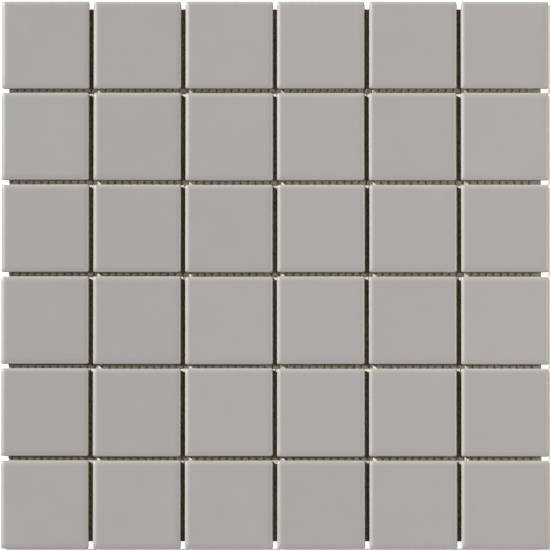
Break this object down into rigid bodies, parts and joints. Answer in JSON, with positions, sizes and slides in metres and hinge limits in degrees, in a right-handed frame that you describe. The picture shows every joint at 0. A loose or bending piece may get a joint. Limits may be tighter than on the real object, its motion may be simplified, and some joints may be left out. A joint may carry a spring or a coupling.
{
  "type": "mosaic tile sheet",
  "caption": "Flat square sheet of small square glazed ceramic tiles held in a grid by an open fabric net on their backs, for tiling walls and floors.",
  "frame": {"origin": "middle of the sheet, on the underside of the net, the plane that is bedded in adhesive", "axes": "+X to the right and +Y to the top of the sheet as seen from the front, +Z out of the glazed faces"},
  "size_m": [0.298, 0.298, 0.0064],
  "materials": {
    "tile": "satin light grey glaze",
    "net": "off-white open net of coated yarns"
  },
  "bodies": {
    "root": {"net_weft": "net", "net_warp": "net", "tile_row1_col1": "tile", "tile_row1_col2": "tile", "tile_row1_col3": "tile", "tile_row1_col4": "tile", "tile_row1_col5": "tile", "tile_row1_col6": "tile", "tile_row2_col1": "tile", "tile_row2_col2": "tile", "tile_row2_col3": "tile", "tile_row2_col4": "tile", "tile_row2_col5": "tile", "tile_row2_col6": "tile", "tile_row3_col1": "tile", "tile_row3_col2": "tile", "tile_row3_col3": "tile", "tile_row3_col4": "tile", "tile_row3_col5": "tile", "tile_row3_col6": "tile", "tile_row4_col1": "tile", "tile_row4_col2": "tile", "tile_row4_col3": "tile", "tile_row4_col4": "tile", "tile_row4_col5": "tile", "tile_row4_col6": "tile", "tile_row5_col1": "tile", "tile_row5_col2": "tile", "tile_row5_col3": "tile", "tile_row5_col4": "tile", "tile_row5_col5": "tile", "tile_row5_col6": "tile", "tile_row6_col1": "tile", "tile_row6_col2": "tile", "tile_row6_col3": "tile", "tile_row6_col4": "tile", "tile_row6_col5": "tile", "tile_row6_col6": "tile"}
  },
  "joints": []
}
